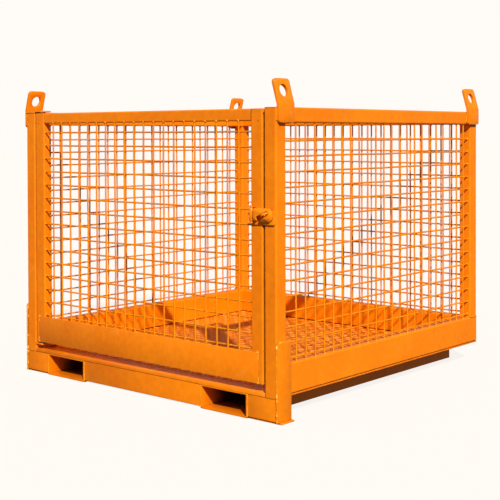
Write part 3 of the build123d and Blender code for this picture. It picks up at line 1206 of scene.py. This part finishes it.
def eased_copy(node: str, radius: float, segments: int = 2) -> bpy.types.Mesh:
    """Copy a CAD plate and round its sharp edges.

    Args:
        node: CAD node to copy.
        radius: Width of the rounding, in metres.
        segments: Number of faces across each rounding.

    Returns:
        A closed mesh, smooth except at what is still sharp.
    """
    mesh = bpy.data.meshes.new(f"{node}_eased")
    work = bmesh.new()
    work.from_mesh(frame["nodes"][node].data)
    bmesh.ops.remove_doubles(work, verts=work.verts, dist=0.01 * MM)
    bmesh.ops.dissolve_limit(
        work, angle_limit=math.radians(0.5), verts=work.verts, edges=work.edges
    )
    sharp = [
        edge
        for edge in work.edges
        if len(edge.link_faces) == 2 and edge.calc_face_angle() > math.radians(40)
    ]
    bmesh.ops.bevel(
        work,
        geom=sharp,
        offset=radius,
        segments=segments,
        profile=0.5,
        affect="EDGES",
        clamp_overlap=True,
    )
    for face in work.faces:
        face.smooth = True
    work.normal_update()
    for edge in work.edges:
        if len(edge.link_faces) == 2:
            edge.smooth = edge.calc_face_angle() < math.radians(50)
    work.to_mesh(mesh)
    work.free()
    return mesh


@dataclass
class CutPlate:
    """A plate cut from flat steel, with its edges eased by grinding and paint."""

    node: str
    body: Body
    slot: Slot
    radius: float = 1.2 * MM

    def build(self, finish: bpy.types.Material) -> bpy.types.Object:
        """Make the eased plate in place of its CAD node.

        Args:
            finish: Enamel on the plate.

        Returns:
            The plate.
        """
        mesh = eased_copy(self.node, self.radius)
        mesh.materials.clear()
        mesh.materials.append(finish)
        piece = link_object(f"{self.node}_eased", mesh)
        add_piece(piece, self.body, (self.node,))
        return piece


@dataclass
class WeldSeams:
    """Weld beads of one body, laid along straight and round seams."""

    name: str
    body: Body
    slot: Slot
    radius: float
    seed: int
    seams: list[list[Vector]] = field(default_factory=list)

    def line(self, *points: tuple[float, float, float]) -> None:
        """Add one seam, given as points in metres."""
        self.seams.append([Vector(point) for point in points])

    def ring(self, centre: Vector, normal: Vector, radius: float, count: int = 16) -> None:
        """Add one round seam.

        Args:
            centre: Middle of the ring.
            normal: Direction that the ring faces.
            radius: Radius of the ring.
            count: Number of points on it.
        """
        turn = normal.to_track_quat("Z", "X")
        points = []
        for step in range(count + 1):
            angle = math.tau * step / count
            offset = Vector((math.cos(angle), math.sin(angle), 0)) * radius
            points.append(centre + turn @ offset)
        self.seams.append(points)

    def build(self, shape: GrownShape, finish: bpy.types.Material) -> bpy.types.Object:
        """Lay the beads.

        Args:
            shape: Tree of the weld bead.
            finish: Enamel on the weld.

        Returns:
            One mesh with every bead of the body.
        """
        points = [point for seam in self.seams for point in seam]
        edges = []
        start = 0
        for seam in self.seams:
            edges.extend((start + step, start + step + 1) for step in range(len(seam) - 1))
            start += len(seam)
        paths = bpy.data.meshes.new(f"{self.name}_paths")
        paths.from_pydata(points, edges, [])
        piece = shape.grow(
            self.name,
            {
                "Bead radius": self.radius,
                "Ripple": self.radius * 1.1,
                "Unevenness": 0.3,
                "Seed": self.seed,
                "Material": finish,
            },
            paths,
        )
        add_piece(piece, self.body)
        return piece


@dataclass
class Frame:
    """Posts, rails, beams and base, which keep their CAD shapes."""

    tubes: tuple[str, ...] = (
        "front_left_post",
        "front_right_post",
        "rear_left_post",
        "rear_right_post",
        "left_top_rail",
        "right_top_rail",
        "rear_top_rail",
        "left_side_beam",
        "right_side_beam",
        "rear_beam",
        "rear_cross_middle",
        "front_floor_bearer",
        "rear_floor_bearer",
    )
    pockets: tuple[str, ...] = ("left_fork_tube", "right_fork_tube")
    plates: tuple[str, ...] = (
        "front_right_post_cap",
        "rear_left_post_cap",
        "rear_right_post_cap",
        "left_beam_cap",
        "right_beam_cap",
        "front_sill",
        "front_cross_left",
        "front_cross_middle",
        "front_cross_right",
        "left_foot_plate",
        "right_foot_plate",
        "left_corner_doubler",
        "right_corner_doubler",
        "top_pivot_plate",
        "bottom_pivot_plate",
        "door_guide_pad",
        "upper_door_stop",
        "lower_door_stop",
    )
    bead: float = 3.0 * MM
    tack: float = 4.4 * MM
    tack_shares: tuple[float, ...] = (0.09, 0.27, 0.33, 0.53, 0.83, 0.96)

    def build(self, finishes: Finishes, weld: GrownShape) -> None:
        """Dress the tubes, ease the plates and lay the welds.

        Args:
            finishes: All finishes.
            weld: Tree of the weld bead.
        """
        for node in self.tubes:
            dress(node, finishes.frame)
        for node in self.pockets:
            dress(node, finishes.pocket)
        for node in self.plates:
            CutPlate(node, Body.CAGE, Slot.FRAME).build(finishes.plate)
        self._foot_welds().build(weld, finishes.weld)
        self._foot_tacks().build(weld, finishes.tack)
        self._frame_welds().build(weld, finishes.weld)

    def _foot_welds(self) -> WeldSeams:
        """Lay out the welds round the front corners.

        Returns:
            Seams round the doublers, the feet and the ends of the pockets.
        """
        seams = WeldSeams("corner_welds", Body.CAGE, Slot.FRAME, self.bead, 3)
        for name, sign in (("left", -1), ("right", 1)):
            low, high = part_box(f"{name}_corner_doubler")
            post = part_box(f"front_{name}_post")
            face = post[1].x if sign > 0 else post[0].x
            out = face + sign * 1.2 * MM
            seams.line((out, low.y, low.z), (out, low.y, high.z))
            seams.line((out, low.y, high.z), (out, high.y, high.z))
            seams.line((out, high.y, high.z), (out, high.y, low.z))
            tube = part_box(f"{name}_fork_tube")
            for wall in (tube[0].x, tube[1].x):
                seams.line(
                    (wall, tube[0].y + 1.5 * MM, low.z), (wall, tube[0].y + 1.5 * MM, tube[1].z)
                )
        return seams

    def _foot_tacks(self) -> WeldSeams:
        """Lay out the heavier lumps on the doublers' seams.

        Returns:
            Short seams at the doublers' top corners and down their front edges.
        """
        seams = WeldSeams("corner_tacks", Body.CAGE, Slot.FRAME, self.tack, 31)
        for name, sign in (("left", -1), ("right", 1)):
            low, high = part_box(f"{name}_corner_doubler")
            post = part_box(f"front_{name}_post")
            face = post[1].x if sign > 0 else post[0].x
            out = face + sign * 0.6 * MM
            edge = low.y + 0.5 * MM
            seams.line((out, edge, high.z - 3 * MM), (out, edge + 22 * MM, high.z - 0.5 * MM))
            for number, share in enumerate(self.tack_shares):
                level = low.z + share * (high.z - low.z - 8 * MM)
                length = (5 + 3 * (number % 3)) * MM
                seams.line((out, edge, level), (out, edge, level + length))
        return seams

    def _frame_welds(self) -> WeldSeams:
        """Lay out the welds of posts, rails and beams.

        Returns:
            Seams where the tubes meet.
        """
        seams = WeldSeams("frame_welds", Body.CAGE, Slot.FRAME, self.bead, 5)
        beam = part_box("right_side_beam")
        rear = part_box("rear_beam")
        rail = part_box("right_top_rail")
        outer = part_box("front_right_post")[1].x
        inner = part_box("front_right_post")[0].x
        rear_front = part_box("rear_right_post")[0].y
        rear_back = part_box("rear_right_post")[1].y
        front_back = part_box("front_right_post")[1].y
        for sign in (-1, 1):
            out = sign * (outer + 0.3 * MM)
            seams.line((out, rear_front, beam[1].z), (out, rear_back - 4 * MM, beam[1].z))
            seams.line(
                (sign * inner, rear_front, beam[1].z), (sign * outer, rear_front, beam[1].z)
            )
            back = rear_back - self.bead
            for joined in (rear, rail):
                seams.line(
                    (sign * inner, back, joined[0].z + self.bead),
                    (sign * inner, back, joined[1].z - self.bead),
                )
            for end in (front_back, rear_front):
                seams.line(
                    (sign * inner, end, rail[0].z), (sign * outer, end, rail[0].z)
                )
                seams.line(
                    (sign * inner, end, rail[0].z), (sign * inner, end, rail[1].z)
                )
            seams.line(
                (sign * inner, front_back, beam[1].z), (sign * outer, front_back, beam[1].z)
            )
        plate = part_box("bottom_pivot_plate")
        for level in (plate[0].z, plate[1].z):
            seams.line((plate[0].x, plate[0].y, level), (plate[0].x, plate[1].y, level))
        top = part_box("top_pivot_plate")
        left_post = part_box("front_left_post")
        seams.line(
            (left_post[0].x, top[0].y, top[0].z), (left_post[1].x, top[0].y, top[0].z)
        )
        seams.line(
            (left_post[0].x, top[0].y, top[0].z), (left_post[0].x, top[1].y, top[0].z)
        )
        return seams


@dataclass
class LiftingLugs:
    """Four flat-bar lugs bent inwards above the posts."""

    nodes: tuple[str, ...] = (
        "front_left_lug",
        "front_right_lug",
        "rear_left_lug",
        "rear_right_lug",
    )
    radius: float = 1.5 * MM
    bead: float = 3.0 * MM

    def build(self, finishes: Finishes, weld: GrownShape) -> None:
        """Ease the lugs and weld them to the posts.

        Args:
            finishes: All finishes.
            weld: Tree of the weld bead.
        """
        seams = WeldSeams("lug_welds", Body.CAGE, Slot.LUG, self.bead, 7)
        for node in self.nodes:
            CutPlate(node, Body.CAGE, Slot.LUG, self.radius).build(finishes.plate)
            low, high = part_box(node)
            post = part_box(node.replace("_lug", "_post"))
            sign = 1 if low.x > 0 else -1
            face = (post[1].x if sign > 0 else post[0].x) + sign * 0.8 * MM
            for side in (low.y, high.y):
                seams.line((face, side, low.z + 9 * MM), (face, side, post[1].z - 2 * MM))
            seams.line((face, low.y + 8 * MM, low.z), (face, high.y - 8 * MM, low.z))
        seams.build(weld, finishes.weld)


@dataclass
class Door:
    """The hinged front: stiles, rails, kick plate and pivots."""

    tubes: tuple[str, ...] = (
        "hinge_stile",
        "latch_stile",
        "door_top_rail",
        "door_bottom_rail",
        "top_pivot_bush",
        "bottom_pivot_bush",
    )
    plates: tuple[str, ...] = ("door_kick_plate",)
    pins: tuple[str, ...] = ("top_pivot_pin", "bottom_pivot_pin")
    bead: float = 2.2 * MM

    def build(self, finishes: Finishes, weld: GrownShape) -> None:
        """Dress the door and lay its welds.

        Args:
            finishes: All finishes.
            weld: Tree of the weld bead.
        """
        for node in self.tubes:
            dress(node, finishes.frame)
        for node in self.pins:
            dress(node, finishes.steel)
        for node in self.plates:
            CutPlate(node, Body.DOOR, Slot.DOOR, 1.3 * MM).build(finishes.plate)
        self._welds().build(weld, finishes.weld)
        self._tacks().build(weld, finishes.tack)

    def _tacks(self) -> WeldSeams:
        """Lay out the tacks at the kick plate's corners.

        Returns:
            Four short lumps.
        """
        seams = WeldSeams("door_tacks", Body.DOOR, Slot.DOOR, 1.7 * self.bead, 33)
        low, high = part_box("door_kick_plate")
        front = low.y + 1.5 * MM
        for side in (low.x, high.x):
            inward = 1 if side < 0 else -1
            near = side + inward * 5 * MM
            seams.line((side, front, high.z), (near, front, high.z))
            seams.line((side, front, low.z + 2 * MM), (near, front, low.z + 2 * MM))
        return seams

    def _welds(self) -> WeldSeams:
        """Lay out the welds of the door frame.

        Returns:
            Seams at the corners of the opening and round the kick plate.
        """
        seams = WeldSeams("door_welds", Body.DOOR, Slot.DOOR, self.bead, 9)
        low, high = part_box("door_kick_plate")
        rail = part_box("door_top_rail")
        tack = 22 * MM
        front = low.y + 0.8 * MM
        for side in (low.x, high.x):
            inward = 1 if side < 0 else -1
            seams.line((side, front, high.z - tack), (side, front, high.z + 1 * MM))
            seams.line((side, front, low.z + 1 * MM), (side, front, low.z + tack))
            seams.line((side, rail[0].y, rail[0].z), (side, rail[1].y, rail[0].z))
            seams.line((side, rail[1].y, rail[0].z), (side, rail[1].y, rail[1].z))
            seams.line(
                (side, high.y, high.z), (side + inward * 6 * MM, high.y, high.z)
            )
        return seams


@dataclass
class DomedLeaf:
    """The hasp leaf, pressed into a shallow dome round its slanted slot."""

    node: str = "hasp_leaf"
    steps: int = 56
    rings: int = 9
    thickness: float = 4 * MM
    dome: float = 7.5 * MM
    shoulder: float = 17 * MM
    slot_place: tuple[float, float] = (591.8 * MM, 660 * MM)
    slot_half_run: float = 20 * MM
    slot_radius: float = 7.5 * MM
    slot_tilt: float = 25.0
    knuckle_radius: float = 6.5 * MM
    bore: float = 3.7 * MM
    near_corner: float = 13 * MM
    far_corner: float = 21 * MM
    longest_ray: float = 120 * MM
    halvings: int = 30
    low: Vector = field(init=False)
    high: Vector = field(init=False)
    axis: Vector = field(init=False)

    def __post_init__(self) -> None:
        """Read the leaf's box and the pin's axis once."""
        self.low, self.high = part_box(self.node)
        pin_low, pin_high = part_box("hasp_pin")
        self.axis = (pin_low + pin_high) / 2

    def build(self, finish: bpy.types.Material) -> bpy.types.Object:
        """Make the pressed plate and its knuckle as one closed mesh each.

        Args:
            finish: Enamel on the leaf.

        Returns:
            The leaf, which stands for its CAD node.
        """
        work = bmesh.new()
        self._plate(work)
        self._knuckle(work)
        bmesh.ops.recalc_face_normals(work, faces=work.faces)
        for face in work.faces:
            face.smooth = True
        for edge in work.edges:
            edge.smooth = edge.calc_face_angle() < math.radians(50)
        mesh = bpy.data.meshes.new("hasp_leaf_domed")
        work.to_mesh(mesh)
        work.free()
        mesh.materials.append(finish)
        piece = link_object("hasp_leaf_domed", mesh)
        add_piece(piece, Body.HASP, (self.node,))
        return piece

    def _plate(self, work: bmesh.types.BMesh) -> None:
        """Add the domed plate, as rings from the slot's rim to the outer edge and back.

        Args:
            work: Mesh that gets the plate.
        """
        spokes = []
        for turn in range(self.steps):
            angle = math.tau * turn / self.steps
            ray = Vector((math.cos(angle), math.sin(angle)))
            rim = self._reach(ray, self._outside_slot)
            edge = self._reach(ray, self._outside_leaf)
            spokes.append((ray, rim, edge))
        loops = []
        for side in (-1, 1):
            steps = range(self.rings + 1) if side < 0 else range(self.rings, -1, -1)
            for ring in steps:
                share = ring / self.rings
                level = self.axis.y + side * self.thickness / 2
                loop = []
                for ray, rim, edge in spokes:
                    spot = Vector(self.slot_place) + ray * (rim + (edge - rim) * share)
                    climb = min(1.0, (edge - rim) * (1 - share) / self.shoulder)
                    rise = self.dome * math.sin(climb * math.pi / 2)
                    loop.append(Vector((spot.x, level - rise, spot.y)))
                loops.append(loop)
        self._skin(work, loops)

    def _reach(self, ray: Vector, outside: Callable[[Vector], bool]) -> float:
        """Find how far a ray from the slot's middle goes before it is outside.

        Args:
            ray: Direction of the ray, across the leaf.
            outside: Test that is true past the line looked for.

        Returns:
            Length of the ray, in metres.
        """
        near, far = 0.0, self.longest_ray
        for _ in range(self.halvings):
            tried = (near + far) / 2
            if outside(Vector(self.slot_place) + ray * tried):
                far = tried
            else:
                near = tried
        return near

    def _outside_slot(self, spot: Vector) -> bool:
        """Say whether a point is past the rim of the slot.

        Args:
            spot: X and Z of the point.

        Returns:
            True when it is outside the slot.
        """
        tilt = math.radians(self.slot_tilt)
        run = Vector((math.cos(tilt), math.sin(tilt)))
        off = spot - Vector(self.slot_place)
        along = max(-self.slot_half_run, min(self.slot_half_run, off.dot(run)))
        return (off - run * along).length > self.slot_radius

    def _outside_leaf(self, spot: Vector) -> bool:
        """Say whether a point is past the outer edge of the leaf.

        Args:
            spot: X and Z of the point.

        Returns:
            True when it is outside the leaf.
        """
        start = self.axis.x + 4 * MM
        corner = self.near_corner if spot.x < self.slot_place[0] else self.far_corner
        middle = (self.low.z + self.high.z) / 2
        over = abs(spot.y - middle) - ((self.high.z - self.low.z) / 2 - corner)
        past = max(start + corner - spot.x, spot.x - (self.high.x - corner))
        return math.hypot(max(over, 0.0), max(past, 0.0)) > corner

    def _knuckle(self, work: bmesh.types.BMesh) -> None:
        """Add the rolled knuckle round the pin.

        Args:
            work: Mesh that gets the knuckle.
        """
        axis = self.axis
        low, high = self.low.z, self.high.z
        ease = 0.8 * MM
        outer = self.knuckle_radius
        profile = (
            (self.bore, low),
            (outer - ease, low),
            (outer, low + ease),
            (outer, high - ease),
            (outer - ease, high),
            (self.bore, high),
        )
        loops = []
        for radius, height in profile:
            loop = []
            for turn in range(self.steps // 2):
                angle = math.tau * turn / (self.steps // 2)
                loop.append(
                    Vector(
                        (
                            axis.x + math.cos(angle) * radius,
                            axis.y + math.sin(angle) * radius,
                            height,
                        )
                    )
                )
            loops.append(loop)
        self._skin(work, loops)

    def _skin(self, work: bmesh.types.BMesh, loops: list[list[Vector]]) -> None:
        """Join closed loops of points, the last one back to the first.

        Args:
            work: Mesh that gets the faces.
            loops: Loops with the same number of points each.
        """
        corners = [[work.verts.new(point) for point in loop] for loop in loops]
        count = len(corners[0])
        for row, loop in enumerate(corners):
            following = corners[(row + 1) % len(corners)]
            for turn in range(count):
                after = (turn + 1) % count
                work.faces.new((loop[turn], loop[after], following[after], following[turn]))


@dataclass
class Latch:
    """Hasp leaf, its bracket and pin, and the staple that it drops over."""

    bead: float = 2.0 * MM

    def build(self, finishes: Finishes, weld: GrownShape) -> None:
        """Dress the latch and weld it on.

        Args:
            finishes: All finishes.
            weld: Tree of the weld bead.
        """
        DomedLeaf().build(finishes.latch)
        CutPlate("hasp_bracket", Body.DOOR, Slot.LATCH, 0.8 * MM).build(finishes.latch)
        dress("hasp_pin", finishes.steel)
        dress("latch_staple", finishes.latch)
        CutPlate("staple_plate", Body.CAGE, Slot.LATCH, 0.9 * MM).build(finishes.latch)
        self._bracket_welds().build(weld, finishes.weld)
        self._staple_welds().build(weld, finishes.weld)

    def _bracket_welds(self) -> WeldSeams:
        """Lay out the seams between the bracket's ears and the stile.

        Returns:
            One seam above and one below.
        """
        seams = WeldSeams("hasp_bracket_welds", Body.DOOR, Slot.LATCH, self.bead, 13)
        low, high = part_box("hasp_bracket")
        for level in (low.z, high.z):
            seams.line((low.x + 1 * MM, high.y, level), (high.x - 1 * MM, high.y, level))
        return seams

    def _staple_welds(self) -> WeldSeams:
        """Lay out the seams at the staple's feet and along the strike plate.

        Returns:
            A ring at each foot, and a seam along the plate's top and bottom.
        """
        seams = WeldSeams("staple_welds", Body.CAGE, Slot.LATCH, self.bead, 15)
        low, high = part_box("latch_staple")
        bar = 4 * MM
        for x, z in ((low.x + bar, low.z + bar), (high.x - bar, high.z - bar)):
            seams.ring(Vector((x, high.y, z)), Vector((0, 1, 0)), bar + 0.6 * MM)
        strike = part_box("staple_plate")
        for level in (strike[0].z, strike[1].z):
            seams.line(
                (strike[0].x + 4 * MM, strike[1].y, level),
                (strike[1].x - 4 * MM, strike[1].y, level),
            )
        return seams


# ---------------------------------------------------------------------------
# Stage
# ---------------------------------------------------------------------------


@dataclass
class Studio:
    """Pale floor, soft key light, pale surroundings and the camera."""

    camera_place: tuple[float, float, float] = (2.850, -3.234, 0.919)
    camera_azimuth: float = 40.14
    camera_elevation: float = 1.01
    camera_roll: float = -0.15
    focal_length: float = 1092.0
    optical_centre: tuple[float, float] = (276.5, 153.3)
    frame_side: float = 500.0
    key_direction: tuple[float, float, float] = (0.635, -0.485, 0.60)
    key_strength: float = 5.25
    key_angle: float = 1.0
    backdrop: str = "#FFFBF6"
    sky_strength: float = 0.28
    ground_strength: float = 0.13
    floor_half: float = 40.0
    floor_glow: float = 0.90

    def build(self) -> None:
        """Set the floor, the lights and the camera."""
        self._floor()
        self._lights()
        self._camera()
        bpy.context.scene.view_settings.view_transform = "Standard"

    def _floor(self) -> None:
        """Lay the pale floor."""
        half = self.floor_half
        mesh = bpy.data.meshes.new("studio_floor")
        corners = [(-half, -half, 0), (half, -half, 0), (half, half, 0), (-half, half, 0)]
        mesh.from_pydata(corners, [], [(0, 1, 2, 3)])
        # pale vinyl lit from behind, as a light table is, so that shadows on it stay faint
        material = bpy.data.materials.new("Pale_lit_vinyl")
        material.use_nodes = True
        shader = material.node_tree.nodes["Principled BSDF"]
        shader.inputs["Base Color"].default_value = linear("#55534F")
        shader.inputs["Roughness"].default_value = 1.0
        shader.inputs["Specular IOR Level"].default_value = 0.0
        shader.inputs["Emission Color"].default_value = linear(self.backdrop)
        shader.inputs["Emission Strength"].default_value = self.floor_glow
        mesh.materials.append(material)
        floor = link_object("studio_floor", mesh)
        floor.visible_diffuse = False
        floor.visible_glossy = False

    def _lights(self) -> None:
        """Hang the key light and make the surroundings pale."""
        lamp = bpy.data.lights.new("key_light", "SUN")
        lamp.energy = self.key_strength
        lamp.angle = math.radians(self.key_angle)
        lamp.color = linear("#FFF3E4")[:3]
        key = bpy.data.objects.new("key_light", lamp)
        key.rotation_mode = "QUATERNION"
        key.rotation_quaternion = Vector(self.key_direction).to_track_quat("Z", "Y")
        bpy.context.scene.collection.objects.link(key)
        world = bpy.data.worlds.new("pale_surroundings")
        world.use_nodes = True
        tree = world.node_tree
        direction = add_node(tree, "ShaderNodeTexCoord").outputs["Generated"]
        height = add_node(tree, "ShaderNodeSeparateXYZ", {0: direction})
        fill = add_node(
            tree,
            "ShaderNodeMapRange",
            {
                "Value": height.outputs["Z"],
                "From Min": -0.15,
                "From Max": 0.15,
                "To Min": self.ground_strength,
                "To Max": self.sky_strength,
            },
        )
        seen = add_node(tree, "ShaderNodeLightPath")
        strength = add_node(
            tree,
            "ShaderNodeMix",
            {0: seen.outputs["Is Camera Ray"], 2: fill.outputs["Result"], 3: 1.0},
        )
        back = tree.nodes["Background"]
        back.inputs["Color"].default_value = linear(self.backdrop)
        tree.links.new(strength.outputs[0], back.inputs["Strength"])
        bpy.context.scene.world = world

    def _camera(self) -> None:
        """Place the camera."""
        azimuth = math.radians(self.camera_azimuth)
        elevation = math.radians(self.camera_elevation)
        back = Vector(
            (
                math.sin(azimuth) * math.cos(elevation),
                -math.cos(azimuth) * math.cos(elevation),
                math.sin(elevation),
            )
        )
        right = Vector((math.cos(azimuth), math.sin(azimuth), 0))
        up = back.cross(right)
        turn = Matrix((right, up, back)).transposed() @ Matrix.Rotation(
            math.radians(self.camera_roll), 3, "Z"
        )
        lens = bpy.data.cameras.new("camera")
        lens.sensor_width = 36.0
        lens.lens = self.focal_length / self.frame_side * lens.sensor_width
        lens.shift_x = 0.5 - self.optical_centre[0] / self.frame_side
        lens.shift_y = self.optical_centre[1] / self.frame_side - 0.5
        lens.clip_end = 200.0
        camera = bpy.data.objects.new("camera", lens)
        camera.matrix_world = Matrix.Translation(self.camera_place) @ turn.to_4x4()
        bpy.context.scene.collection.objects.link(camera)
        bpy.context.scene.camera = camera


def main() -> None:
    """Build the cage's looks piece by piece."""
    finishes = Finishes()
    panel = wire_panel_shape()
    weld = weld_shape()
    Frame().build(finishes, weld)
    LiftingLugs().build(finishes, weld)
    Door().build(finishes, weld)
    Latch().build(finishes, weld)
    ChequerFloor().build(chequer_shape(), finishes.floor)
    across_front = Vector((1, 0, 0))
    across_side = Vector((0, 1, 0))
    for wires in (
        WirePanel("door_mesh", Body.DOOR, across_front, Vector((0, -1, 0)), 21),
        WirePanel("rear_mesh", Body.CAGE, across_front, Vector((0, 1, 0)), 22),
        WirePanel("left_mesh", Body.CAGE, across_side, Vector((-1, 0, 0)), 23),
        WirePanel("right_mesh", Body.CAGE, across_side, Vector((1, 0, 0)), 24),
    ):
        wires.build(panel, finishes.wire)
    Studio().build()


if __name__ == "__main__":
    main()
